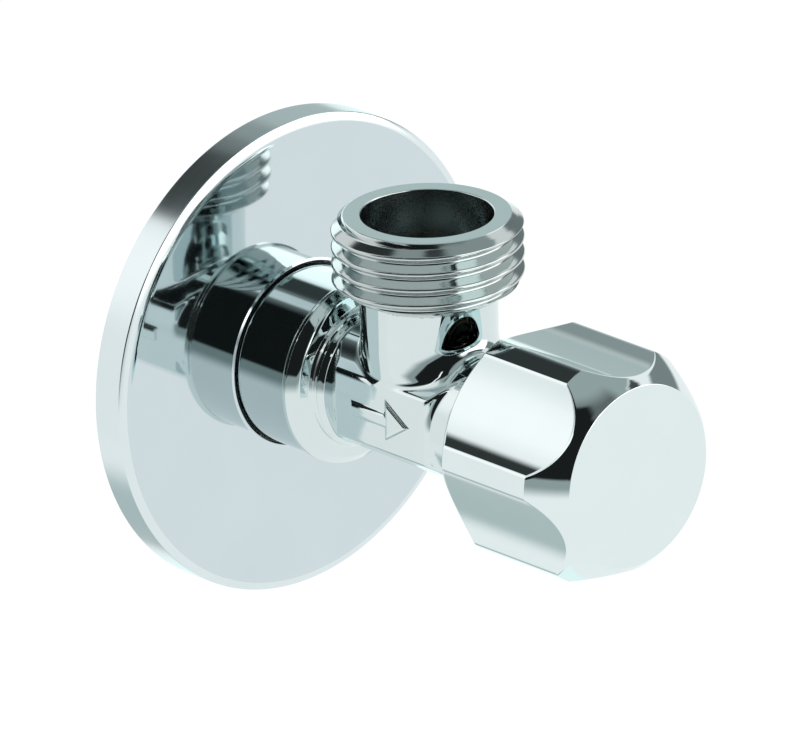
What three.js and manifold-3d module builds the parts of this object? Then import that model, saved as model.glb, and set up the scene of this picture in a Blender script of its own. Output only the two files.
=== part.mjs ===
// Angle stop valve with a G1/2 inlet behind a sliding escutcheon, a G1/2 outlet pointing up,
// and a hexagonal handle on a non-rising spindle.
// Millimetres, +Z up. The origin is on the inlet axis, in the plane of the wall.
// The valve stands out from the wall along -Y, and its outlet axis points along +Z.
// "out" is a distance from the wall along the inlet axis, so a point's y is -out.

import * as THREE from "three";
import { mergeVertices } from "three/addons/utils/BufferGeometryUtils.js";
import Module from "manifold-3d";

const wasm = await Module();
wasm.setup();

// ---------------------------------------------------------------- driving dimensions

const TURN = 2 * Math.PI;
const FINE = 36; // facets round a large turned piece
const MEDIUM = 28; // facets round the headpart's pieces
const COARSE = 20; // facets round a small turned piece

// G1/2 pipe thread to ISO 228-1.
const THREAD = { crest: 10.4, root: 9.32, pitch: 1.814, crestFlat: 0.4 };

const INLET = { end: -13, bore: 6.5, strainerStep: -2.6, throat: 5.8, threadEnd: -4.6 };
const SHANK = { radius: 10, start: -1.2 };
const SHOULDER = { radius: 10.25, out: 12.2, ringRadius: 7.9, ringOut: 14 };
const TUBE = { radius: 7.3, end: 40.5 };
const SEAT = { bore: 3.8, land: 4.6, out: 18.2, floor: 17.5 };
const CHAMBER = { radius: 5.9, end: 31, headpartBore: 6.35 };
const OUTLET = {
  out: 24.1, height: 21.4, neck: 7.45, passage: 5.2, mouth: 7.18, mouthFloor: 13.7,
  faceRadius: 9.06, threadStart: 13.3,
};
const PAD = { face: 7.5, length: 14.2, height: 7.4, rise: 1.2, draft: 0.7 };

const ESCUTCHEON = { radius: 26.7, depth: 4.3, sheet: 0.8, edge: 0.5, hole: 10.5, collarBack: 2.6 };

const HEADPART = {
  start: 31.6, barrel: 6.3, bore: 4.5, boreEnd: 45.7, flangeStart: 41.3, flangeEnd: 45.3,
  acrossFlats: 14, neck: 5.2, end: 49.3, stemBore: 3.25,
};
const KEYWAY = { width: 2, reach: 5.3 };
const SPINDLE = { screw: 2, screwStart: 31.3, collar: 3.9, collarStart: 44.1, stem: 3.2, end: 54 };
const PISTON = { head: 5.1, stem: 3.4, barrel: 4.4, screwBore: 2.1, end: 38.6 };
const WASHER = { radius: 5, hole: 1.6, thickness: 2.2, gap: 0.05 };

const HANDLE = {
  back: 37.5, cornerBack: 39.5, cornerFront: 52.1, front: 56, corner: 13.05, face: 10.1,
  backRadius: 11, facetMiddle: 11, landHalfAngle: 5.5, twist: 54.5,
  socket: 9.3, socketEnd: 46.5, boss: 8, bossEnd: 54.4,
};
const SPLINE = { teeth: 16, root: 2.6, tip: 3.1, start: 50.35, clearance: 0.12 };
const SNAP = { groove: 7.2, ring: 8.25, start: 51.6, width: 0.9, gapDegrees: 40 };

// ---------------------------------------------------------------- materials

const finish = (color, metalness, roughness) =>
  new THREE.MeshStandardMaterial({ color, metalness, roughness });
const CHROME = finish(0xd8dedd, 1, 0.06);
const BRASS = finish(0xc9a24b, 1, 0.35);
const STEEL = finish(0xb9bcbf, 1, 0.3);
const RUBBER = finish(0x1b1c1d, 0, 0.8);
const WHITE_PLASTIC = finish(0xe9e9e4, 0, 0.5);
const GREY_PLASTIC = finish(0x8d9092, 0, 0.5);

// ---------------------------------------------------------------- geometry helpers

// A closed mesh as a solid that can be joined and cut.
function solid(geometry) {
  const bare = geometry.index ? geometry.toNonIndexed() : geometry;
  const positions = new THREE.BufferGeometry().setAttribute("position", bare.getAttribute("position"));
  const merged = mergeVertices(positions, 1e-4);
  const index = merged.index.array;
  const triVerts = [];
  for (let i = 0; i < index.length; i += 3) {
    const [a, b, c] = [index[i], index[i + 1], index[i + 2]];
    if (a !== b && b !== c && c !== a) triVerts.push(a, b, c);
  }
  return new wasm.Manifold(new wasm.Mesh({
    numProp: 3,
    vertProperties: merged.attributes.position.array,
    triVerts: new Uint32Array(triVerts),
  }));
}

// A solid back as geometry.
function geometryOf(shape) {
  const made = shape.getMesh();
  const points = new Float32Array(made.numVert * 3);
  for (let i = 0; i < made.numVert; i++) {
    points.set(made.vertProperties.subarray(i * made.numProp, i * made.numProp + 3), i * 3);
  }
  const geometry = new THREE.BufferGeometry();
  geometry.setAttribute("position", new THREE.BufferAttribute(points, 3));
  geometry.setIndex(new THREE.BufferAttribute(made.triVerts, 1));
  return geometry;
}

const signedArea = (points) =>
  points.reduce((sum, [x, y], i) => {
    const [nextX, nextY] = points[(i + 1) % points.length];
    return sum + (x * nextY - nextX * y) / 2;
  }, 0);

// A solid turned about the Y axis from a closed outline of [radius, out] points.
function turned(outline, facets = FINE) {
  let points = outline.map(([radius, out]) => [radius, -out]);
  if (signedArea(points) < 0) points = points.reverse();
  // An outline with an edge on the axis starts and ends on the axis instead of closing there.
  const onAxis = points.findIndex(([r], i) => r === 0 && points[(i + 1) % points.length][0] === 0);
  const loop = onAxis < 0
    ? [...points, points[0]]
    : [...points.slice(onAxis + 1), ...points.slice(0, onAxis + 1)];
  return solid(new THREE.LatheGeometry(loop.map(([r, y]) => new THREE.Vector2(r, y)), facets));
}

// The same about the vertical outlet axis, from [radius, height] points.
function turnedUpright(outline, facets = FINE) {
  return turned(outline, facets).rotate([-90, 0, 0]).translate([0, -OUTLET.out, 0]);
}

// Points on an arc of a turned outline, from one [radius, out] point to another, bulging outwards.
function bulge([r0, out0], [r1, out1], height, steps = 4) {
  const [dr, dOut] = [r1 - r0, out1 - out0];
  const length = Math.hypot(dr, dOut);
  return Array.from({ length: steps - 1 }, (_, i) => {
    const t = (i + 1) / steps;
    const lift = (4 * height * t * (1 - t)) / length;
    return [r0 + t * dr + lift * dOut, out0 + t * dOut - lift * dr];
  });
}

// A plain ring with a square section.
const ring = (inner, outer, from, to, facets = COARSE) =>
  turned([[inner, from], [outer, from], [outer, to], [inner, to]], facets);

// An O-ring: a torus about the Y axis.
function oRing(centreRadius, thickness, out) {
  const geometry = new THREE.TorusGeometry(centreRadius, thickness / 2, 6, MEDIUM);
  return geometry.rotateX(Math.PI / 2).translate(0, -out, 0);
}

// A bar from one out to another, with its cross-section in X and Z.
function bar(points, from, to) {
  const shape = new THREE.Shape(points.map(([x, z]) => new THREE.Vector2(x, z)));
  const geometry = new THREE.ExtrudeGeometry(shape, { depth: to - from, bevelEnabled: false });
  return solid(geometry.rotateX(Math.PI / 2).translate(0, -from, 0));
}

const polygon = (sides, radius, twist = 0) =>
  Array.from({ length: sides }, (_, i) => {
    const a = twist + (i / sides) * TURN;
    return [radius * Math.cos(a), radius * Math.sin(a)];
  });

// The outline of an external thread between two distances along its axis. The ridges are rings a pitch
// apart instead of one helix.
function threadOutline(from, to) {
  const { crest, root, pitch, crestFlat } = THREAD;
  const ridges = Math.floor((to - from) / pitch);
  const first = (from + to - ridges * pitch) / 2;
  const outline = [];
  for (let i = 0; i < ridges; i++) {
    const start = first + i * pitch;
    const middle = start + pitch / 2;
    outline.push([root, start], [crest, middle - crestFlat / 2], [crest, middle + crestFlat / 2]);
  }
  return [...outline, [root, first + ridges * pitch]];
}

const root = new THREE.Group();
function add(name, shape, material) {
  const geometry = shape instanceof THREE.BufferGeometry ? shape : geometryOf(shape);
  const mesh = new THREE.Mesh(geometry, material);
  mesh.name = name;
  root.add(mesh);
}

// ---------------------------------------------------------------- valve body

function inletAndTube() {
  const { radius, out, ringRadius, ringOut } = SHOULDER;
  const [domeStart, domeEnd] = [[radius, out], [ringRadius, ringOut]];
  return turned([
    [0, INLET.end], [8.6, INLET.end], [THREAD.root, INLET.end + 0.7],
    ...threadOutline(INLET.end + 0.8, INLET.threadEnd), [THREAD.root, SHANK.start - 0.6],
    [SHANK.radius, SHANK.start], [SHANK.radius, out - 0.6],
    [radius, out - 0.35], domeStart, ...bulge(domeStart, domeEnd, 0.35), domeEnd,
    [TUBE.radius, ringOut + 0.5], [TUBE.radius, TUBE.end], [0, TUBE.end],
  ]);
}

function outletNeck() {
  const { neck, threadStart, height, faceRadius } = OUTLET;
  return turnedUpright([
    [0, 0], [neck, 0], [neck, threadStart - 0.9], ...threadOutline(threadStart, height - 0.7),
    [THREAD.root, height - 0.4], [faceRadius, height], [0, height],
  ]);
}

// A raised rectangular pad with sloping sides on the flank of the tube, on the side given.
function pad(side) {
  const { face, length, height, rise, draft } = PAD;
  const shape = new THREE.Shape();
  const [halfLength, halfHeight] = [length / 2, height / 2];
  shape.moveTo(-halfHeight, -halfLength);
  shape.lineTo(halfHeight, -halfLength);
  shape.lineTo(halfHeight, halfLength);
  shape.lineTo(-halfHeight, halfLength);
  shape.closePath();
  const bevel = { bevelThickness: rise, bevelSize: draft, bevelOffset: 0, bevelSegments: 1 };
  const geometry = new THREE.ExtrudeGeometry(shape, { depth: 1, ...bevel });
  geometry.translate(0, 0, -(1 + rise)).rotateY((side * Math.PI) / 2);
  return solid(geometry.translate(side * face, -OUTLET.out, 0));
}

function waterway() {
  const alongInlet = turned([
    [0, INLET.end - 1], [INLET.bore, INLET.end - 1], [INLET.bore, INLET.strainerStep],
    [INLET.throat, INLET.strainerStep], [INLET.throat, 9], [SEAT.bore, 12], [SEAT.bore, SEAT.out],
    [SEAT.land, SEAT.out], [SEAT.land + 0.4, SEAT.floor], [CHAMBER.radius, SEAT.floor],
    [CHAMBER.radius, CHAMBER.end], [CHAMBER.headpartBore, CHAMBER.end + 0.4],
    [CHAMBER.headpartBore, TUBE.end + 1], [0, TUBE.end + 1],
  ]);
  const upOutlet = turnedUpright([
    [0, 0], [OUTLET.passage, 0], [OUTLET.passage, OUTLET.mouthFloor - 1],
    [OUTLET.mouth, OUTLET.mouthFloor], [OUTLET.mouth, OUTLET.height + 1], [0, OUTLET.height + 1],
  ]);
  return alongInlet.add(upOutlet);
}

const body = inletAndTube()
  .add(outletNeck())
  .add(pad(-1))
  .add(pad(1))
  .subtract(waterway());
add("valve_body", body, CHROME);

add("inlet_seal_ring", ring(THREAD.root + 0.1, THREAD.crest - 0.02, -4.3, -1.9, FINE), WHITE_PLASTIC);

// A slotted cup that stops grit: its flange rests on the step in the inlet bore.
function strainer() {
  const [flangeStart, flangeEnd, cupEnd] = [INLET.strainerStep - 0.9, INLET.strainerStep - 0.05, 7];
  const [inner, outer] = [4, 4.7];
  let cup = turned([
    [inner, flangeStart], [INLET.bore - 0.1, flangeStart], [INLET.bore - 0.1, flangeEnd],
    [outer, flangeEnd], [outer, cupEnd], [0, cupEnd], [0, cupEnd - 0.7], [inner, cupEnd - 0.7],
  ], COARSE);
  const slots = 4;
  for (let i = 0; i < slots; i++) {
    const slot = new THREE.BoxGeometry(2 * outer + 1, cupEnd - flangeEnd - 2.5, 1.2);
    slot.translate(0, -(cupEnd + flangeEnd) / 2, 0).rotateY((i * Math.PI) / slots);
    cup = cup.subtract(solid(slot));
  }
  return cup;
}
add("inlet_strainer", strainer(), STEEL);

// ---------------------------------------------------------------- escutcheon

function escutcheon() {
  const { radius, depth, sheet, edge, hole, collarBack } = ESCUTCHEON;
  return turned([
    [radius, 0], [radius, depth - edge], [radius - 0.3 * edge, depth - 0.3 * edge],
    [radius - edge, depth], [hole + 0.25, depth], [hole, depth - 0.25], [hole, collarBack],
    [hole + sheet, collarBack], [hole + sheet, depth - sheet], [radius - sheet, depth - sheet],
    [radius - sheet, 0],
  ], 60);
}
add("escutcheon", escutcheon(), CHROME);

// The ring that grips the shank and clips into the escutcheon's collar from behind.
const GRIP = { inner: SHANK.radius + 0.08, lip: ESCUTCHEON.hole - 0.05, back: 1.3, flange: 12 };
add("escutcheon_grip_ring", turned([
  [GRIP.inner, GRIP.back], [GRIP.flange, GRIP.back], [GRIP.flange, ESCUTCHEON.collarBack - 0.05],
  [GRIP.lip, ESCUTCHEON.collarBack - 0.05], [GRIP.lip, 3.6], [GRIP.inner, 3.6],
], MEDIUM), GREY_PLASTIC);

// ---------------------------------------------------------------- headpart

function headpartHousing() {
  const { start, barrel, bore, boreEnd, flangeStart, flangeEnd, neck, end, stemBore } = HEADPART;
  const hexagonRadius = HEADPART.acrossFlats / Math.sqrt(3);
  const barrelAndNeck = turned([
    [0, start], [barrel - 0.4, start], [barrel, start + 0.4], [barrel, flangeStart + 0.3],
    [neck, flangeStart + 0.3], [neck, end], [0, end],
  ], MEDIUM);
  const flange = bar(polygon(6, hexagonRadius, TURN / 12), flangeStart, flangeEnd)
    .intersect(turned([[0, flangeStart], [8, flangeStart], [8, flangeEnd - 0.6],
      [7.2, flangeEnd], [0, flangeEnd]], MEDIUM));
  const hollow = turned([
    [0, start - 1], [bore, start - 1], [bore, boreEnd], [stemBore, boreEnd], [stemBore, end + 1],
    [0, end + 1],
  ], MEDIUM);
  const keyway = new THREE.BoxGeometry(2 * KEYWAY.reach, boreEnd - start, KEYWAY.width);
  keyway.translate(0, -(start + boreEnd) / 2 + 1, 0);
  return barrelAndNeck.add(flange).subtract(hollow).subtract(solid(keyway));
}
add("headpart_housing", headpartHousing(), BRASS);

add("headpart_gasket", ring(HEADPART.barrel + 0.1, 7.6, TUBE.end + 0.05, HEADPART.flangeStart - 0.05, MEDIUM),
  GREY_PLASTIC);

function spindle() {
  const { screw, screwStart, collar, collarStart, stem, end } = SPINDLE;
  const groove = (from) => [[stem, from], [stem - 0.85, from], [stem - 0.85, from + 1.1], [stem, from + 1.1]];
  const turnedShape = turned([
    [0, screwStart], [screw - 0.4, screwStart], [screw, screwStart + 0.4], [screw, collarStart],
    [collar, collarStart], [collar, collarStart + 1], [stem, collarStart + 1],
    ...groove(46.2), ...groove(47.8), [stem, 49.45], [stem - 0.6, 49.45], [stem - 0.6, 50.1],
    [stem, 50.1], [SPLINE.tip, SPLINE.start], [SPLINE.tip, end - 0.3], [SPLINE.tip - 0.3, end], [0, end],
  ], MEDIUM);
  const core = SPLINE.root - 0.1;
  const cutter = turned([
    [core, SPLINE.start], [stem + 1, SPLINE.start], [stem + 1, end + 1], [core, end + 1],
  ], MEDIUM);
  const teeth = bar(splineOutline(SPLINE.root, SPLINE.tip), SPLINE.start - 0.1, end - 0.3);
  return turnedShape.subtract(cutter).add(teeth);
}

function splineOutline(root, tip) {
  return Array.from({ length: SPLINE.teeth * 2 }, (_, i) => {
    const angle = (i / (SPLINE.teeth * 2)) * TURN;
    const radius = i % 2 ? root : tip;
    return [radius * Math.cos(angle), radius * Math.sin(angle)];
  });
}
add("spindle", spindle(), BRASS);
add("spindle_slip_washer", ring(3.3, 4.3, 45.15, 45.65), WHITE_PLASTIC);
add("spindle_o_ring_inner", oRing(2.78, 0.82, 46.75), RUBBER);
add("spindle_o_ring_outer", oRing(2.78, 0.82, 48.35), RUBBER);

// A ring cut open on one side, as a spring ring is.
function openRing(inner, outer, from, to, gapDegrees) {
  const half = (gapDegrees * Math.PI) / 360;
  const wedge = [[0, 0], [2 * outer * Math.cos(half), 2 * outer * Math.sin(half)],
    [2 * outer * Math.cos(half), -2 * outer * Math.sin(half)]];
  return ring(inner, outer, from, to, MEDIUM).subtract(bar(wedge, from - 1, to + 1));
}
add("spindle_circlip", openRing(2.68, 4.2, 49.5, 50.05, 70), STEEL);

// ---------------------------------------------------------------- closing piston

function piston() {
  const { head, stem, barrel, screwBore, end } = PISTON;
  const washerBack = SEAT.out + WASHER.gap + WASHER.thickness + WASHER.gap;
  const headEnd = washerBack + 1.8;
  const shape = turned([
    [0, washerBack], [head, washerBack], [head, headEnd], [stem, headEnd + 0.8], [stem, 32.3],
    [barrel, 33], [barrel, 34], [barrel - 0.85, 34], [barrel - 0.85, 35.1], [barrel, 35.1],
    [barrel, end], [0, end],
  ], MEDIUM);
  const lug = new THREE.BoxGeometry(2 * (KEYWAY.reach - 0.15), 2, KEYWAY.width - 0.2);
  lug.translate(0, -(end - 1), 0);
  const screwHole = turned([[0, 26.4], [screwBore, 26.4], [screwBore, end + 1], [0, end + 1]], MEDIUM);
  const pinHole = turned([[0, washerBack - 1], [1.3, washerBack - 1], [1.3, 25], [0, 25]], COARSE);
  return shape.add(solid(lug)).subtract(screwHole).subtract(pinHole);
}
add("valve_piston", piston(), BRASS);
add("piston_o_ring", oRing(3.98, 0.8, 34.55), RUBBER);
add("seat_washer", ring(WASHER.hole, WASHER.radius, SEAT.out + WASHER.gap,
  SEAT.out + WASHER.gap + WASHER.thickness), RUBBER);
add("seat_washer_plate", ring(1.5, 2.8, 17.45, SEAT.out), STEEL);
add("seat_washer_screw", turned([
  [0, 15.9], [2, 15.9], [2.3, 16.2], [2.3, 17.4], [1.2, 17.4], [1.2, 24.6], [0, 24.6],
], COARSE), BRASS);

// ---------------------------------------------------------------- handle

// The handle's cross-section: six corner lands on a circle, with a scooped facet between each two.
function handleOutline() {
  const { corner, facetMiddle, landHalfAngle, twist } = HANDLE;
  const [sectors, landSteps, facetSteps] = [6, 2, 8];
  const degree = Math.PI / 180;
  const outline = [];
  const land = landHalfAngle * degree;
  const sector = TURN / sectors;
  const chordMiddle = corner * Math.cos(sector / 2 - land);
  const scoop = chordMiddle - facetMiddle;
  for (let k = 0; k < sectors; k++) {
    const middle = twist * degree + k * sector;
    for (let i = 0; i <= landSteps; i++) {
      const angle = middle - land + (2 * land * i) / landSteps;
      outline.push([corner * Math.cos(angle), corner * Math.sin(angle)]);
    }
    for (let i = 1; i < facetSteps; i++) {
      const t = i / facetSteps;
      const angle = middle + land + (sector - 2 * land) * t;
      const chord = chordMiddle / Math.cos(angle - middle - sector / 2);
      const radius = chord - scoop * Math.sin(Math.PI * t);
      outline.push([radius * Math.cos(angle), radius * Math.sin(angle)]);
    }
  }
  return outline;
}

function handle() {
  const { back, cornerBack, cornerFront, front, corner, face, backRadius } = HANDLE;
  const envelope = turned([
    [0, back], [backRadius, back], [corner, cornerBack], [corner, cornerFront],
    ...bulge([corner, cornerFront], [face, front], 0.3, 5), [face, front], [0, front],
  ], 60);
  const cavity = turned([
    [0, back - 1], [HANDLE.socket, back - 1], [HANDLE.socket, HANDLE.socketEnd],
    [HANDLE.boss, HANDLE.socketEnd + 1], [HANDLE.boss, SNAP.start], [SNAP.ring + 0.1, SNAP.start],
    [SNAP.ring + 0.1, SNAP.start + SNAP.width], [HANDLE.boss, SNAP.start + SNAP.width],
    [HANDLE.boss, HANDLE.bossEnd], [0, HANDLE.bossEnd],
  ], MEDIUM);
  return bar(handleOutline(), back, front).intersect(envelope).subtract(cavity);
}
add("handle", handle(), CHROME);

// The plastic core that carries the handle on the spindle's splines.
function handleInsert() {
  const [from, to] = [50.5, 54.2];
  const core = turned([
    [0, from], [HANDLE.boss - 0.05, from], [HANDLE.boss - 0.05, SNAP.start],
    [SNAP.groove, SNAP.start], [SNAP.groove, SNAP.start + SNAP.width],
    [HANDLE.boss - 0.05, SNAP.start + SNAP.width], [HANDLE.boss - 0.05, to], [0, to],
  ], MEDIUM);
  const { root, tip, clearance } = SPLINE;
  const socket = bar(splineOutline(root + clearance, tip + clearance), from - 1, to + 1);
  return core.subtract(socket);
}
add("handle_insert", handleInsert(), WHITE_PLASTIC);
add("insert_snap_ring", openRing(SNAP.groove + 0.05, SNAP.ring, SNAP.start + 0.1,
  SNAP.start + SNAP.width - 0.1, SNAP.gapDegrees), STEEL);

export default root;
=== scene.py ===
import math

import bpy
import numpy as np
from mathutils import Matrix, Vector


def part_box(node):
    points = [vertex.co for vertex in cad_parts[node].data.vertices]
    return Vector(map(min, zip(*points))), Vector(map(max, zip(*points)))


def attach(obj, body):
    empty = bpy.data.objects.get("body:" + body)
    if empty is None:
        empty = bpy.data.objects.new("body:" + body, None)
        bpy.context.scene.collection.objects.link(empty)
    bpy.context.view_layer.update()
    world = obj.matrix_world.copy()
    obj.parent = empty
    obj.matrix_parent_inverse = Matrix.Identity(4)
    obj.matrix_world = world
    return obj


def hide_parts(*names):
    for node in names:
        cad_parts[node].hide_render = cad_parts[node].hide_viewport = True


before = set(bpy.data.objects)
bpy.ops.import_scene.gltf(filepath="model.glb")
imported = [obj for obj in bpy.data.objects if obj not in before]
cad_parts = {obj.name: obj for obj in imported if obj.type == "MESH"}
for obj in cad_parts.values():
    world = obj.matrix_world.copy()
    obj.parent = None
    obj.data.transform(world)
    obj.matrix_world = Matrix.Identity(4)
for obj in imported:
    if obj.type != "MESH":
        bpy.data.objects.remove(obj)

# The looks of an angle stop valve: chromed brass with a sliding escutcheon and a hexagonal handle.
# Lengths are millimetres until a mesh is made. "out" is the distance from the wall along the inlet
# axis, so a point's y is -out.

MM = 0.001
TURN = 2 * math.pi
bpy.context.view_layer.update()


def node_span(node):
    """The smallest and largest out of a CAD node, and its largest radius about the inlet axis."""
    low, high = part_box(node)
    return -high.y / MM, -low.y / MM, high.x / MM


# ------------------------------------------------------------------ dimensions

INLET_END, TUBE_END, _ = node_span("valve_body")
_, ESCUTCHEON_FRONT, ESCUTCHEON_RADIUS = node_span("escutcheon")
HANDLE_BACK, HANDLE_FRONT, _ = node_span("handle")
GRIP_BACK, GRIP_FRONT, GRIP_RADIUS = node_span("escutcheon_grip_ring")
SEAL_BACK, SEAL_FRONT, SEAL_RADIUS = node_span("inlet_seal_ring")
OUTLET_OUT = 24.1
OUTLET_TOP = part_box("valve_body")[1].z / MM

SHANK_RADIUS, SHOULDER_RADIUS, SHOULDER_OUT = 10.0, 10.25, 12.2
COLLAR_RADIUS, COLLAR_OUT = 7.86, 14.0
TUBE_RADIUS, NECK_RADIUS = 7.3, 7.45
SEAT_BORE, PASSAGE, MOUTH = 3.8, 5.2, 7.18
THREAD_CREST, THREAD_ROOT, THREAD_PITCH, THREAD_TIP = 10.4, 9.3, 1.814, 0.22
PAD_FACE, PAD_HALF_LENGTH, PAD_HALF_HEIGHT, PAD_SLOPE = 7.5, 7.1, 3.75, 0.6
ARROW_HEIGHT, ARROW_SLOPE = 0.38, 0.45
HANDLE_CORNER, HANDLE_FACET, HANDLE_FACE = 13.05, 11.0, 10.1
HANDLE_CORNER_BACK, HANDLE_CORNER_FRONT, HANDLE_INSIDE = 39.5, 52.1, 54.4
HALF_FACET, HANDLE_TWIST = math.radians(24.5), math.radians(54.5)
DISC_HOLE, DISC_DISH, DISC_SHEET, DISC_RIM = 10.28, 0.13, 0.8, 0.9
GRIP_BORE, GRIP_LIP, GRIP_STEP = 10.08, 10.23, 2.55


# ------------------------------------------------------------------ mesh building

def rounded(corners, closed=True, steps=6):
    """A fine outline through [x, y, radius] corners, each rounded by its own radius if it has one."""
    spots = [np.array(c[:2], float) for c in corners]
    outline = []
    for i, (spot, (_, _, radius)) in enumerate(zip(spots, corners)):
        if radius == 0 or not closed and i in (0, len(spots) - 1):
            outline.append(spot)
            continue
        to_last, to_next = spots[i - 1] - spot, spots[(i + 1) % len(spots)] - spot
        room = 0.45 * min(np.linalg.norm(to_last), np.linalg.norm(to_next))
        to_last, to_next = to_last / np.linalg.norm(to_last), to_next / np.linalg.norm(to_next)
        half = math.acos(np.clip(to_last @ to_next, -1, 1)) / 2
        reach = min(radius / math.tan(half), room)
        size = reach * math.tan(half)
        middle = spot + (to_last + to_next) / np.linalg.norm(to_last + to_next) * size / math.sin(half)
        support = min(0.05, room - reach)
        if support > 0.005:
            outline.append(spot + to_last * (reach + support))
        first = spot + to_last * reach - middle
        last = spot + to_next * reach - middle
        swing = math.pi - 2 * half
        for k in range(steps + 1):
            share = k / steps
            arc = (math.sin((1 - share) * swing) * first + math.sin(share * swing) * last) / math.sin(swing)
            outline.append(middle + arc)
        if support > 0.005:
            outline.append(spot + to_next * (reach + support))
    return np.array(outline)


def revolve(outline, segments, relief=None):
    """Rings of points round the inlet axis, one for each [radius, out] of the outline. relief turns
    (radius, out, angle) into a radius that changes round the axis."""
    angle = np.arange(segments) * TURN / segments
    radius, out = (outline[:, k][:, None] + 0 * angle for k in (0, 1))
    if relief is not None:
        radius = relief(radius, out, angle + 0 * radius)
    return np.stack([radius * np.cos(angle), -out, radius * np.sin(angle)], axis=-1)


def upright(rings):
    """The same rings about the outlet axis, with what was out as height."""
    return np.stack([rings[..., 0], rings[..., 2] - OUTLET_OUT, -rings[..., 1]], axis=-1)


def skin(rings, closed=True):
    """Points and faces of rings joined each to the next. A ring with no size becomes one point."""
    count, around = rings.shape[:2]
    points, index = [], np.zeros((count, around), int)
    total = 0
    for i in range(count):
        pole = np.ptp(rings[i], axis=0).max() < 1e-6
        points.append(rings[i][:1] if pole else rings[i])
        index[i] = total + (0 if pole else np.arange(around))
        total += 1 if pole else around
    faces = []
    for i in range(count if closed else count - 1):
        a, b = index[i], index[(i + 1) % count]
        quads = np.stack([a, b, np.roll(b, -1), np.roll(a, -1)], axis=1)
        if a[0] == a[1]:
            quads = quads[:, :3]
        elif b[0] == b[1]:
            quads = quads[:, [0, 1, 3]]
        faces += quads.tolist()
    return np.concatenate(points), faces


def outward(points, faces):
    """The faces, all turned if the closed surface they make is inside out."""
    volume = sum(
        np.einsum("ij,ij->", points[tri[:, 0]], np.cross(points[tri[:, 1]], points[tri[:, 2]]))
        for tri in (np.array([[f[0], f[k], f[k + 1]] for f in faces if len(f) > k + 1]) for k in (1, 2))
        if len(tri)
    )
    return faces if volume > 0 else [f[::-1] for f in faces]


def add_piece(name, points, faces, material, body, slot, stands_for=(), normals=None, finishes=()):
    """A new piece that rides on a body. finishes are (material, test) pairs: the faces whose centres
    pass a test get its material."""
    mesh = bpy.data.meshes.new(name)
    mesh.from_pydata((points * MM).tolist(), [], outward(points, faces))
    mesh.shade_smooth()
    if normals is not None:
        mesh.normals_split_custom_set_from_vertices(normals.tolist())
    mesh.materials.append(material)
    if finishes:
        centres = np.empty(3 * len(mesh.polygons))
        mesh.polygons.foreach_get("center", centres)
        index = np.zeros(len(mesh.polygons), int)
        for number, (finish, test) in enumerate(finishes, 1):
            mesh.materials.append(finish)
            index[test(*(centres.reshape(-1, 3).T / MM))] = number
        mesh.polygons.foreach_set("material_index", index)
    piece = bpy.data.objects.new(name, mesh)
    bpy.context.scene.collection.objects.link(piece)
    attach(piece, body)
    if stands_for:
        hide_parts(*stands_for)
    return piece


# ------------------------------------------------------------------ node materials

def new_material(name):
    material = bpy.data.materials.new(name)
    material.use_nodes = True
    return material, material.node_tree.nodes, material.node_tree.links


def noise(nodes, links, place, scale, detail):
    texture = nodes.new("ShaderNodeTexNoise")
    texture.inputs["Scale"].default_value = scale
    texture.inputs["Detail"].default_value = detail
    links.new(place, texture.inputs["Vector"])
    return texture.outputs["Fac"]


def bump(nodes, links, height, strength, distance=0.00002, under=None):
    """The normal that a height gives, on top of the normal under it if there is one."""
    node = nodes.new("ShaderNodeBump")
    node.inputs["Strength"].default_value = strength
    node.inputs["Distance"].default_value = distance
    links.new(height, node.inputs["Height"])
    if under is not None:
        links.new(under, node.inputs["Normal"])
    return node.outputs["Normal"]


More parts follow.
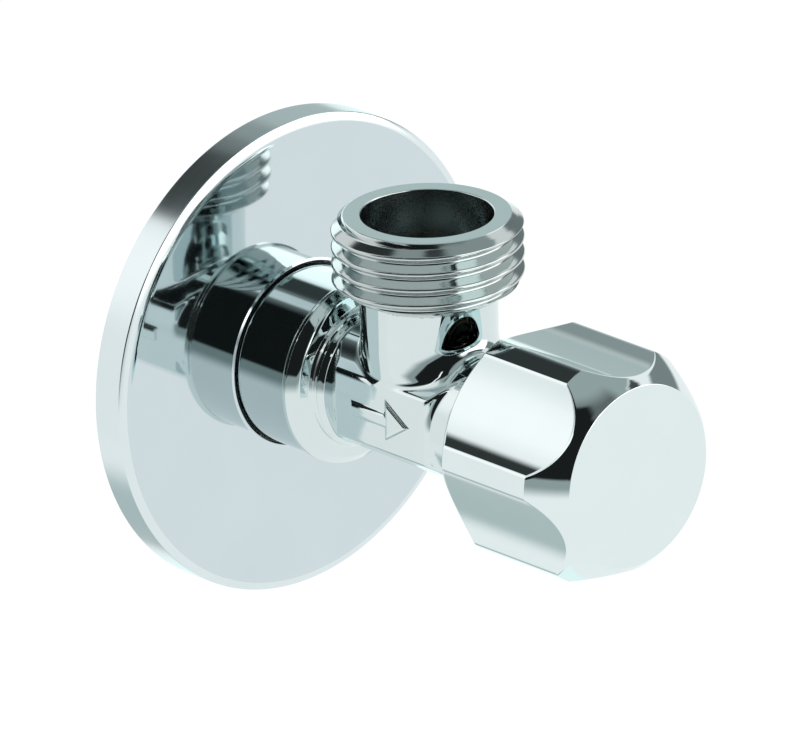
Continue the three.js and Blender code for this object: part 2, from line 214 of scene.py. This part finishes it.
def metal(name, colour, roughness, polish=0.02, wave_scale=0.09, stain=0.05, rings=None, grain=None):
    """A metal whose roughness, tint and level wander a little. rings is (axis, depth, scale) of the marks
    that a lathe tool leaves round an axis; grain is the depth of a fine cast or blasted texture."""
    material, nodes, links = new_material(name)
    shader = nodes["Principled BSDF"]
    shader.inputs["Metallic"].default_value = 1.0
    place = nodes.new("ShaderNodeTexCoord").outputs["Object"]
    smudge = noise(nodes, links, place, 140.0, 4.0)

    rough = nodes.new("ShaderNodeMapRange")
    rough.inputs["From Min"].default_value = 0.35
    rough.inputs["From Max"].default_value = 0.75
    rough.inputs["To Min"].default_value = roughness
    rough.inputs["To Max"].default_value = roughness + polish
    links.new(smudge, rough.inputs["Value"])
    links.new(rough.outputs["Result"], shader.inputs["Roughness"])

    tint = nodes.new("ShaderNodeMix")
    tint.data_type = "RGBA"
    tint.inputs["A"].default_value = (*colour, 1)
    tint.inputs["B"].default_value = (*[c * (1 - stain) for c in colour], 1)
    links.new(smudge, tint.inputs["Factor"])
    links.new(tint.outputs["Result"], shader.inputs["Base Color"])

    normal = bump(nodes, links, noise(nodes, links, place, 260.0, 1.0), wave_scale)
    if rings:
        (axis_x, axis_y, axis_z), depth, scale = rings
        along = nodes.new("ShaderNodeVectorMath")
        along.operation = "MULTIPLY"
        along.inputs[1].default_value = (1 - axis_x, 1 - axis_y, 1 - axis_z)
        across = nodes.new("ShaderNodeVectorMath")
        across.operation = "SUBTRACT"
        across.inputs[1].default_value = (0, -OUTLET_OUT * MM * axis_z, 0)
        links.new(place, across.inputs[0])
        links.new(across.outputs["Vector"], along.inputs[0])
        radius = nodes.new("ShaderNodeVectorMath")
        radius.operation = "LENGTH"
        links.new(along.outputs["Vector"], radius.inputs[0])
        height = nodes.new("ShaderNodeVectorMath")
        height.operation = "DOT_PRODUCT"
        height.inputs[1].default_value = (axis_x, axis_y, axis_z)
        links.new(place, height.inputs[0])
        spot = nodes.new("ShaderNodeCombineXYZ")
        links.new(radius.outputs["Value"], spot.inputs["X"])
        links.new(height.outputs["Value"], spot.inputs["Y"])
        marks = noise(nodes, links, spot.outputs["Vector"], scale, 3.0)
        normal = bump(nodes, links, marks, depth, under=normal)
    if grain:
        speckle = noise(nodes, links, place, 3500.0, 3.0)
        normal = bump(nodes, links, speckle, grain, under=normal)

    links.new(normal, shader.inputs["Normal"])
    return material


def moulded(name, colour, roughness, sheen=0.5):
    """Plastic, rubber or fibre: a slightly mottled colour over a fine moulded grain."""
    material, nodes, links = new_material(name)
    shader = nodes["Principled BSDF"]
    shader.inputs["Specular IOR Level"].default_value = sheen
    place = nodes.new("ShaderNodeTexCoord").outputs["Object"]
    mottle = noise(nodes, links, place, 420.0, 5.0)
    ramp = nodes.new("ShaderNodeValToRGB")
    for stop, share, at in zip(ramp.color_ramp.elements, (0.82, 1.0), (0.3, 0.7)):
        stop.position = at
        stop.color = (*[c * share for c in colour], 1)
    links.new(mottle, ramp.inputs["Fac"])
    links.new(ramp.outputs["Color"], shader.inputs["Base Color"])
    rough = nodes.new("ShaderNodeMapRange")
    rough.inputs["To Min"].default_value = roughness - 0.06
    rough.inputs["To Max"].default_value = roughness + 0.1
    links.new(mottle, rough.inputs["Value"])
    links.new(rough.outputs["Result"], shader.inputs["Roughness"])
    links.new(bump(nodes, links, mottle, 0.25, 0.00003), shader.inputs["Normal"])
    return material


BODY_TINT = (0.69, 0.78, 0.78)
TURNED_OUTLET = ((0, 0, 1), 0.2, 9000.0)
TURNED_BORE = ((0, 0, 1), 0.3, 9000.0)
TURNED_ALONG = ((0, 1, 0), 0.3, 6000.0)

chrome = metal("polished_chrome", BODY_TINT, 0.025, polish=0.02)
# Painted shade: the shank's chrome is tinted darker than the body to stand for the shade near the
# escutcheon and the wall.
shank_chrome_painted_shade = metal("shank_chrome_painted_shade", (0.56, 0.64, 0.645), 0.03, polish=0.02)
forged_chrome = metal("forged_chrome", BODY_TINT, 0.03, polish=0.03, wave_scale=0.35)
disc_chrome = metal("disc_chrome", (0.63, 0.72, 0.745), 0.035, polish=0.03, wave_scale=0.05)
rim_chrome = metal("rim_chrome", (0.73, 0.82, 0.835), 0.14, polish=0.04, wave_scale=0.05)
handle_chrome = metal("handle_chrome", (0.76, 0.85, 0.855), 0.03, polish=0.02, wave_scale=0.05)
thread_chrome = metal("thread_chrome", (0.55, 0.61, 0.605), 0.09, polish=0.05, rings=TURNED_OUTLET)
turned_chrome = metal("turned_chrome", (0.78, 0.90, 0.90), 0.08, polish=0.05, rings=TURNED_OUTLET)
# The bore's metal is rougher and tinted darker. The darker tint is partly painted shade, standing for the
# shade down inside the bore.
bored_metal_and_shade = metal("bored_metal_and_shade", (0.48, 0.54, 0.54), 0.18, polish=0.08, stain=0.2, rings=TURNED_BORE)
bare_brass = metal("bare_brass", (0.71, 0.52, 0.22), 0.28, polish=0.1, stain=0.25, rings=TURNED_ALONG)
stainless = metal("stainless", (0.62, 0.63, 0.64), 0.3, polish=0.1, stain=0.1, grain=0.2)
white_plastic = moulded("white_plastic", (0.78, 0.78, 0.74), 0.4)
grey_plastic = moulded("grey_plastic", (0.30, 0.31, 0.32), 0.45)
black_rubber = moulded("black_rubber", (0.02, 0.02, 0.021), 0.6, sheen=0.35)
fibre = moulded("fibre", (0.34, 0.26, 0.18), 0.75, sheen=0.2)


# ------------------------------------------------------------------ threads

def thread_radius(phase):
    """Radius of a pipe thread at a phase from 0 to 1, with a rounded crest at one half."""
    tip = THREAD_TIP / math.sin(math.radians(27.5)) - THREAD_TIP
    crest, root = THREAD_CREST + tip, THREAD_ROOT - tip
    zigzag = [[-0.5, crest, 0], [0, root, THREAD_TIP], [0.5, crest, THREAD_TIP],
              [1, root, THREAD_TIP], [1.5, crest, 0]]
    ridge = rounded(zigzag * np.array([THREAD_PITCH, 1, 1]), closed=False)
    return np.interp(phase * THREAD_PITCH, ridge[:, 0], ridge[:, 1])


def soft_min(a, b, blend):
    return np.minimum(a, b) - np.maximum(blend - np.abs(a - b), 0) ** 2 / (4 * blend)


def soft_max(a, b, blend):
    return -soft_min(-a, -b, blend)


def thread_relief(start, end, phase, hand):
    """Cuts a helical thread into the rings between two outs. The rings' own radius is a limit."""
    def relief(radius, out, angle):
        helix = thread_radius(((out - start) / THREAD_PITCH + phase - hand * angle / TURN) % 1)
        cut = soft_min(helix, radius, 0.12)
        return np.where((out > start) & (out < end) & (radius > THREAD_ROOT - 0.6), cut, radius)
    return relief


def dense(outline, low, high, step):
    """The outline with extra points on its outer side between two outs."""
    rows = [outline[0]]
    for a, b in zip(outline[:-1], outline[1:]):
        pieces = 1
        if min(a[0], b[0]) > THREAD_ROOT - 0.7 and max(a[1], b[1]) > low and min(a[1], b[1]) < high:
            pieces = max(1, math.ceil(np.linalg.norm(b - a) / step))
        rows += [a + (b - a) * k / pieces for k in range(1, pieces + 1)]
    return np.array(rows)


def outlet_thread():
    """The threaded end of the outlet, from just under the thread up, with its machined face and bore."""
    low, high = 13.25, OUTLET_TOP
    outline = rounded([
        [PASSAGE, 12.3, 0.05], [NECK_RADIUS, 12.3, 0.01], [NECK_RADIUS, 12.95, 0.35], [8.9, 13.1, 0.15],
        [THREAD_CREST, 14.2, 0.15], [THREAD_CREST, high - 1.0, 0.1], [9.75, high - 0.55, 0.1],
        [9.06, high, 0.14], [MOUTH, high, 0.14], [MOUTH, 13.7, 0.3], [PASSAGE, 12.9, 0.2],
    ])
    rings = revolve(dense(outline, low, high - 0.6, 0.06), 288, thread_relief(low, high - 0.5, 0.35, 1))

    def on_top(x, y, z):
        return z > high - 0.06

    # Faces inside the bore get the darker metal, partly painted shade.
    def in_bore(x, y, z):
        return (np.hypot(x, y + OUTLET_OUT) < MOUTH + 0.03) & (z < high - 0.1)

    add_piece("outlet_thread", *skin(upright(rings)), thread_chrome, "valve", "chrome_body", ["valve_body"],
              finishes=[(turned_chrome, on_top), (bored_metal_and_shade, in_bore)])


def inlet_and_shoulder():
    """The inlet thread, the shank that the escutcheon slides on, and the shoulder behind the tube."""
    end = INLET_END
    outline = rounded([
        [6.5, end, 0.15], [8.7, end, 0.15], [THREAD_CREST, end + 1.2, 0.15], [THREAD_CREST, -4.7, 0.1],
        [THREAD_ROOT, -4.4, 0.1], [THREAD_ROOT, -1.9, 0.1], [SHANK_RADIUS, -1.2, 0.15],
        [SHANK_RADIUS, SHOULDER_OUT - 0.75, 0.2], [SHOULDER_RADIUS, SHOULDER_OUT - 0.45, 0.15],
        [SHOULDER_RADIUS, SHOULDER_OUT, 0.16], [9.3, 13.15, 1.2], [8.1, 13.55, 0.25],
        [COLLAR_RADIUS + 0.02, COLLAR_OUT - 0.22, 0.12], [COLLAR_RADIUS - 0.05, COLLAR_OUT + 0.1, 0.12],
        [TUBE_RADIUS, 14.5, 0.15],
        [SEAT_BORE, 14.5, 0.05], [SEAT_BORE, 12, 0.3], [5.8, 9, 0.3], [5.8, -2.6, 0.1], [6.5, -2.6, 0.1],
    ])
    rings = revolve(dense(outline, end, -4.5, 0.06), 288, thread_relief(end, -4.5, 0.6, -1))

    # The shank gets the darker chrome, which is painted shade near the escutcheon and the wall.
    def on_shank_painted_shade(x, y, z):
        return (np.hypot(x, z) > SHANK_RADIUS - 0.05) & (abs(y + 5) < 6.45)

    add_piece("inlet_and_shoulder", *skin(rings), chrome, "valve", "chrome_body", ["valve_body"],
              finishes=[(shank_chrome_painted_shade, on_shank_painted_shade)])


# ------------------------------------------------------------------ forged body

def smooth_step(low, high, value):
    share = np.clip((value - low) / (high - low), 0, 1)
    return share * share * (3 - 2 * share)


def flow_arrow(along, aside):
    """Signed distance to the outline of an arrow that points along the flow."""
    shaft = np.maximum(aside - 0.8, np.maximum(-4.4 - along, along - 1.5))
    head = np.maximum(0.9 - along, (aside * 3.6 + (along - 4.5) * 2.3) / math.hypot(3.6, 2.3))
    return soft_min(shaft, head, 0.2)


def forging(x, out, z):
    """Signed distance, about, to the forged tube, neck and side pads with their hollow inside."""
    tube_radius = (TUBE_RADIUS + 0.5 * (1 - smooth_step(14.3, 15.4, out)) ** 2
                   + 0.35 * smooth_step(34.5, 38, out) - 0.4 * (1 - smooth_step(14.2, 14.45, out)))
    tube = np.maximum(np.hypot(x, z) - tube_radius, out - TUBE_END)
    neck_radius = NECK_RADIUS - 0.3 * (1 - smooth_step(2, 7, z)) - 0.3 * smooth_step(12.35, 12.6, z)
    neck = np.maximum(np.hypot(x, out - OUTLET_OUT) - neck_radius, -z)
    fillet = 0.05 + smooth_step(1.5, 5.5, z) * (0.55 + 1.7 * smooth_step(-3, 4, out - OUTLET_OUT))
    shape = soft_min(tube, neck, fillet)

    depth = np.abs(x) - PAD_FACE
    scale = math.hypot(1, PAD_SLOPE)
    sides = (np.abs(z) - PAD_HALF_HEIGHT + PAD_SLOPE * depth) / scale
    ends = (np.abs(out - OUTLET_OUT) - PAD_HALF_LENGTH + PAD_SLOPE * depth) / scale
    pad = soft_max(soft_max(sides, ends, 0.35), depth, 0.4)
    arrow = flow_arrow(out - OUTLET_OUT, np.abs(z)) + ARROW_SLOPE * depth
    arrow = arrow / math.hypot(1, ARROW_SLOPE)
    arrow = np.maximum(soft_max(arrow, depth - ARROW_HEIGHT, 0.3), -0.5 - depth)
    pad = soft_min(pad, arrow, 0.12)
    shape = soft_min(shape, np.maximum(pad, 4 - np.abs(x)), 0.45)

    shape = np.maximum(np.maximum(shape, z - 12.8), 13.9 - out)
    chamber = np.interp(out, [14.3, 14.5, 18.2, 18.21, 30.9, 31.4],
                        [4.2, SEAT_BORE, SEAT_BORE, 5.9, 5.9, 6.35])
    along = np.hypot(x, z) - chamber
    up = np.maximum(np.hypot(x, out - OUTLET_OUT) - PASSAGE - 0.3 * smooth_step(12.3, 12.5, z), -z)
    return np.maximum(shape, -np.minimum(along, up))


def surface_net(field, low, high, cell):
    """The surface where a field of (x, out, z) is zero: points, faces and the field's own normals."""
    axes = [np.arange(a, b + cell, cell) for a, b in zip(low, high)]
    values = field(*np.meshgrid(*axes, indexing="ij"))
    inside = values < 0
    shape = np.array(values.shape) - 1
    corners = [np.array([i, j, k]) for i in (0, 1) for j in (0, 1) for k in (0, 1)]

    def shifted(grid, corner):
        return grid[tuple(slice(c, c + n) for c, n in zip(corner, shape))]

    filled = sum(shifted(inside, c).astype(np.int8) for c in corners)
    cells = np.argwhere((filled > 0) & (filled < 8))
    number = np.full(shape, -1)
    number[tuple(cells.T)] = np.arange(len(cells))

    total, hits = np.zeros((len(cells), 3)), np.zeros(len(cells))
    for corner in corners:
        for axis in range(3):
            if corner[axis]:
                continue
            end = corner.copy()
            end[axis] = 1
            a, b = values[tuple((cells + corner).T)], values[tuple((cells + end).T)]
            crossed = (a < 0) != (b < 0)
            share = np.where(crossed, a / np.where(crossed, a - b, 1), 0)
            total[crossed] += (corner + share[:, None] * (end - corner))[crossed]
            hits += crossed
    points = np.array(low) + cell * (cells + total / hits[:, None])

    faces = []
    for axis in range(3):
        u, v = (axis + 1) % 3, (axis + 2) % 3
        step = np.zeros(3, int)
        step[axis] = 1
        ahead = np.roll(inside, -1, axis)
        edges = np.argwhere(inside != ahead)
        edges = edges[(edges[:, axis] < shape[axis]) & (edges[:, u] > 0) & (edges[:, v] > 0)
                      & (edges[:, u] < shape[u]) & (edges[:, v] < shape[v])]
        ring = []
        for du, dv in ((1, 1), (0, 1), (0, 0), (1, 0)):
            cell_at = edges.copy()
            cell_at[:, u] -= du
            cell_at[:, v] -= dv
            ring.append(number[tuple(cell_at.T)])
        quads = np.stack(ring, axis=1)
        leaving = inside[tuple(edges.T)]
        quads[~leaving] = quads[~leaving][:, ::-1]
        faces.append(quads)
    faces = np.concatenate(faces)

    def slope(at):
        tiny = 0.01
        return np.stack([
            (field(*(at + tiny * unit).T) - field(*(at - tiny * unit).T)) / (2 * tiny) for unit in np.eye(3)
        ], axis=1)

    for _ in range(3):
        gradient = slope(points)
        steepness = np.maximum((gradient ** 2).sum(axis=1), 0.3)
        move = -(field(*points.T) / steepness)[:, None] * gradient
        size = np.linalg.norm(move, axis=1)[:, None]
        points = points + move * np.minimum(1, 0.5 * cell / np.maximum(size, 1e-9))
    gradient = slope(points)
    normals = gradient / np.maximum(np.linalg.norm(gradient, axis=1), 1e-9)[:, None]
    flip = np.array([1, -1, 1])
    return points * flip, faces[:, ::-1].tolist(), normals * flip


def forged_body():
    cell = 0.15
    reach = PAD_FACE + ARROW_HEIGHT + 0.4
    low, high = [-reach, 13.5, -reach], [reach, TUBE_END + 0.4, 13.1]
    points, faces, normals = surface_net(forging, low, high, cell)
    add_piece("forged_body", points, faces, forged_chrome, "valve", "chrome_body", ["valve_body"], normals)


# ------------------------------------------------------------------ handle

def handle():
    """Six scooped facets cut into a turned knob, with turned lands left at the corners."""
    half_chord = HANDLE_CORNER * math.sin(HALF_FACET)
    depth = HANDLE_CORNER * math.cos(HALF_FACET) - HANDLE_FACET
    scoop = (half_chord ** 2 + depth ** 2) / (2 * depth)
    centre = HANDLE_FACET + scoop

    def relief(radius, out, angle):
        from_middle = (angle - HANDLE_TWIST) % (TURN / 6) - TURN / 12
        facet = centre * np.cos(from_middle) - np.sqrt(scoop ** 2 - (centre * np.sin(from_middle)) ** 2)
        return np.where(radius > 9.5, soft_min(radius, facet, 0.22), radius)

    def on_crown(share):
        rise = 0.5 * share * (1 - share)
        return [HANDLE_CORNER + share * (HANDLE_FACE - HANDLE_CORNER) + rise,
                HANDLE_CORNER_FRONT + share * (front - HANDLE_CORNER_FRONT) + rise, 0]

    back, front = HANDLE_BACK, HANDLE_FRONT
    outer = rounded([
        [10.0, back, 0], [11.0, back, 0.25], [HANDLE_CORNER, HANDLE_CORNER_BACK, 0.3],
        [HANDLE_CORNER, HANDLE_CORNER_FRONT, 0.35],
        *[on_crown(share) for share in np.linspace(0.12, 0.88, 24)],
        [HANDLE_FACE, front, 0.15], [9.0, front, 0],
    ], closed=False)
    outer = dense(outer, back - 1, front + 1, 0.12)
    face = [[r, front] for r in (8, 6, 4, 2)]
    inner = rounded([
        [7.9, HANDLE_INSIDE, 0.1], [7.9, 47.5, 0.2], [9.3, 46.5, 0.3], [9.3, back + 0.1, 0.2],
        [9.9, back, 0.05],
    ], closed=False)
    outline = np.concatenate([[[0, front]], face[::-1], outer[::-1], inner[::-1], [[0, HANDLE_INSIDE]]])
    rings = revolve(outline, 720, relief)
    add_piece("handle_cap", *skin(rings, closed=False), handle_chrome, "handle_assembly", "chrome_handle",
              ["handle"])


# ------------------------------------------------------------------ escutcheon and small parts

def turned_piece(name, corners, material, body, slot, stands_for, segments=192, finishes=()):
    add_piece(name, *skin(revolve(rounded(corners), segments)), material, body, slot, stands_for,
              finishes=finishes)


def escutcheon():
    radius, front, hole, sheet = ESCUTCHEON_RADIUS, ESCUTCHEON_FRONT, DISC_HOLE, DISC_SHEET
    face = front - DISC_DISH
    bow = [[radius - 0.1 - 1.6 * t, face - 0.42 * (1 - t) ** 2, 0] for t in np.linspace(0.12, 1, 20)]

    def on_rim(x, y, z):
        return np.hypot(x, z) > radius - DISC_RIM

    turned_piece("escutcheon_disc", [
        [radius, 0, 0.12], [radius, front - 0.6, 0.14], *bow, [hole + 0.32, face, 0.05],
        [hole + 0.08, front, 0.05], [hole, front - 0.04, 0.04], [hole, 2.6, 0.15],
        [hole + sheet, 2.6, 0.15], [hole + sheet, front - sheet, 0.3],
        [radius - sheet, front - sheet, 0.3], [radius - sheet, 0, 0.12],
    ], disc_chrome, "escutcheon_assembly", "chrome_escutcheon", ["escutcheon"], 384, [(rim_chrome, on_rim)])
    turned_piece("escutcheon_grip", [
        [GRIP_BORE, GRIP_BACK, 0.15], [GRIP_RADIUS, GRIP_BACK, 0.3], [GRIP_RADIUS, GRIP_STEP, 0.2],
        [GRIP_LIP, GRIP_STEP, 0.05], [GRIP_LIP, GRIP_FRONT, 0.05], [GRIP_BORE, GRIP_FRONT, 0.05],
    ], grey_plastic, "escutcheon_assembly", "grip_plastic", ["escutcheon_grip_ring"])


def inlet_seal():
    turned_piece("inlet_seal", [
        [THREAD_ROOT + 0.1, SEAL_BACK, 0.15], [SEAL_RADIUS, SEAL_BACK, 0.3], [SEAL_RADIUS, SEAL_FRONT, 0.3],
        [THREAD_ROOT + 0.1, SEAL_FRONT, 0.15],
    ], white_plastic, "valve", "ptfe", ["inlet_seal_ring"])


inlet_and_shoulder()
outlet_thread()
forged_body()
handle()
escutcheon()
inlet_seal()


# ------------------------------------------------------------------ the remaining CAD nodes

KEPT = {
    "inlet_strainer": stainless, "headpart_housing": bare_brass, "headpart_gasket": fibre,
    "spindle": bare_brass, "spindle_slip_washer": white_plastic, "spindle_o_ring_inner": black_rubber,
    "spindle_o_ring_outer": black_rubber, "spindle_circlip": stainless, "valve_piston": bare_brass,
    "piston_o_ring": black_rubber, "seat_washer": black_rubber, "seat_washer_plate": stainless,
    "seat_washer_screw": bare_brass, "handle_insert": white_plastic, "insert_snap_ring": stainless,
}
for node, material in KEPT.items():
    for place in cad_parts[node].material_slots:
        place.material = material


# ------------------------------------------------------------------ camera

# Azimuth 0 looks straight at the wall, and positive azimuths stand towards +X.
AZIMUTH, ELEVATION, ROLL = (math.radians(angle) for angle in (-42.99, 21.6, -1.23))
TARGET, DISTANCE = Vector((-9.93, -30, 8.09)) * MM, 2

camera = bpy.data.objects.new("camera", bpy.data.cameras.new("camera"))
camera.data.lens = 845.3
camera.data.sensor_width = 36
camera.data.clip_start, camera.data.clip_end = 0.1, 100
aim = Matrix.Rotation(AZIMUTH, 4, "Z") @ Matrix.Rotation(math.pi / 2 - ELEVATION, 4, "X")
aim = aim @ Matrix.Rotation(ROLL, 4, "Z")
camera.matrix_world = Matrix.Translation(TARGET) @ aim @ Matrix.Translation((0, 0, DISTANCE))
bpy.context.scene.collection.objects.link(camera)
bpy.context.scene.camera = camera


# ------------------------------------------------------------------ floor and studio

def floor():
    """A pale sheet under the object, which shines of itself and stays out of the reflections."""
    mesh = bpy.data.meshes.new("floor")
    reach, height = 1.2, -0.25
    corners = [(-reach, -reach), (reach, -reach), (reach, reach), (-reach, reach)]
    mesh.from_pydata([(x, y, height) for x, y in corners], [], [(0, 1, 2, 3)])
    material, nodes, _ = new_material("floor")
    shader = nodes["Principled BSDF"]
    shader.inputs["Base Color"].default_value = (0.1, 0.1, 0.1, 1)
    shader.inputs["Roughness"].default_value = 0.9
    shader.inputs["Emission Color"].default_value = (1, 1, 1, 1)
    shader.inputs["Emission Strength"].default_value = 0.94
    mesh.materials.append(material)
    plane = bpy.data.objects.new("floor", mesh)
    bpy.context.scene.collection.objects.link(plane)
    plane.visible_glossy = False


def grey(level):
    return (0.87 * level, level, level)


# The studio round the object: soft boxes and dark openings, each from one azimuth and elevation to
# another in degrees. Azimuth 0 is straight out from the wall, and positive towards +X. A row covers
# the rows above it.
# (azimuths), (elevations), soft edge sideways, soft edge upwards, colour
STUDIO = [
    ((-400, 400), (48, 100), 1, 3, grey(0.42)),
    ((-80, 30), (44, 60), 20, 14, grey(0.16)),
    ((108, 158), (66, 100), 8, 8, grey(0.06)),
    ((-9, 66), (2, 38), 5, 12, (2.3, 2.2, 2.15)),
    ((8, 66), (38, 47), 6, 3, grey(0.08)),
    ((-9, 4), (45, 48), 4, 2, (1.2, 1.2, 1.2)),
    ((-400, -118), (-30, 46), 10, 6, (0.97, 0.97, 0.97)),
    ((-158, -133), (12, 40), 12, 14, (1.2, 1.17, 1.17)),
    ((66, 126), (4, 30), 6, 5, grey(0.26)),
    ((126, 150), (-2, 27), 6, 8, grey(0.54)),
    ((128, 154), (27, 42), 6, 8, grey(0.33)),
    ((126, 152), (-90, -2), 6, 8, grey(1.08)),
    ((154, 400), (38, 66), 5, 5, grey(0.04)),
    ((-400, -157), (39, 66), 5, 4, grey(0.04)),
    ((150, 160), (36, 46), 6, 4, grey(0.18)),
    ((-400, -150), (-80, -40), 16, 10, grey(0.58)),
    ((158, 400), (-80, -40), 10, 10, grey(0.58)),
    ((-112, -12), (-15, 20), 14, 12, grey(0.38)),
    ((-112, -12), (-3, 57), 14, 3, grey(0.014)),
    ((-125, -72), (37.5, 41), 4, 1.5, (1.3, 1.3, 1.3)),
]


def studio():
    """A pale studio all round, seen in reflections, and plain white behind the object."""
    world = bpy.data.worlds.new("studio")
    bpy.context.scene.world = world
    world.use_nodes = True
    nodes, links = world.node_tree.nodes, world.node_tree.links
    background = nodes["Background"]
    direction = nodes.new("ShaderNodeTexCoord").outputs["Generated"]

    def math_node(operation, a, b=0):
        node = nodes.new("ShaderNodeMath")
        node.operation = operation
        for socket, value in zip(node.inputs, (a, b)):
            if isinstance(value, (int, float)):
                socket.default_value = value
            else:
                links.new(value, socket)
        return node.outputs["Value"]

    def edge(value, low, high):
        node = nodes.new("ShaderNodeMapRange")
        node.interpolation_type = "SMOOTHSTEP"
        links.new(value, node.inputs["Value"])
        node.inputs["From Min"].default_value = low
        node.inputs["From Max"].default_value = high
        return node.outputs["Result"]

    split = nodes.new("ShaderNodeSeparateXYZ")
    links.new(direction, split.inputs["Vector"])
    x, y, z = (split.outputs[axis] for axis in "XYZ")
    azimuth = math_node("ARCTAN2", x, math_node("MULTIPLY", y, -1))
    elevation = math_node("ARCSINE", z)

    def within(value, low, high, soft):
        low, high, soft = (math.radians(a) for a in (low, high, soft))
        rise = edge(value, low - soft / 2, low + soft / 2)
        fall = edge(value, high - soft / 2, high + soft / 2)
        return math_node("SUBTRACT", rise, fall)

    level = None
    for (left, right), (low, high), soft_side, soft_height, colour in STUDIO:
        inside = math_node("MULTIPLY", within(azimuth, left, right, soft_side),
                           within(elevation, low, high, soft_height))
        mix = nodes.new("ShaderNodeMix")
        mix.data_type = "RGBA"
        links.new(inside, mix.inputs["Factor"])
        if level is None:
            mix.inputs["A"].default_value = (1, 1, 1, 1)
        else:
            links.new(level, mix.inputs["A"])
        mix.inputs["B"].default_value = (*colour, 1)
        level = mix.outputs["Result"]

    seen = nodes.new("ShaderNodeMix")
    seen.data_type = "RGBA"
    links.new(nodes.new("ShaderNodeLightPath").outputs["Is Camera Ray"], seen.inputs["Factor"])
    links.new(level, seen.inputs["A"])
    seen.inputs["B"].default_value = (1, 1, 1, 1)
    level = seen.outputs["Result"]
    links.new(level, background.inputs["Color"])


floor()
studio()
bpy.context.scene.view_settings.view_transform = "Standard"
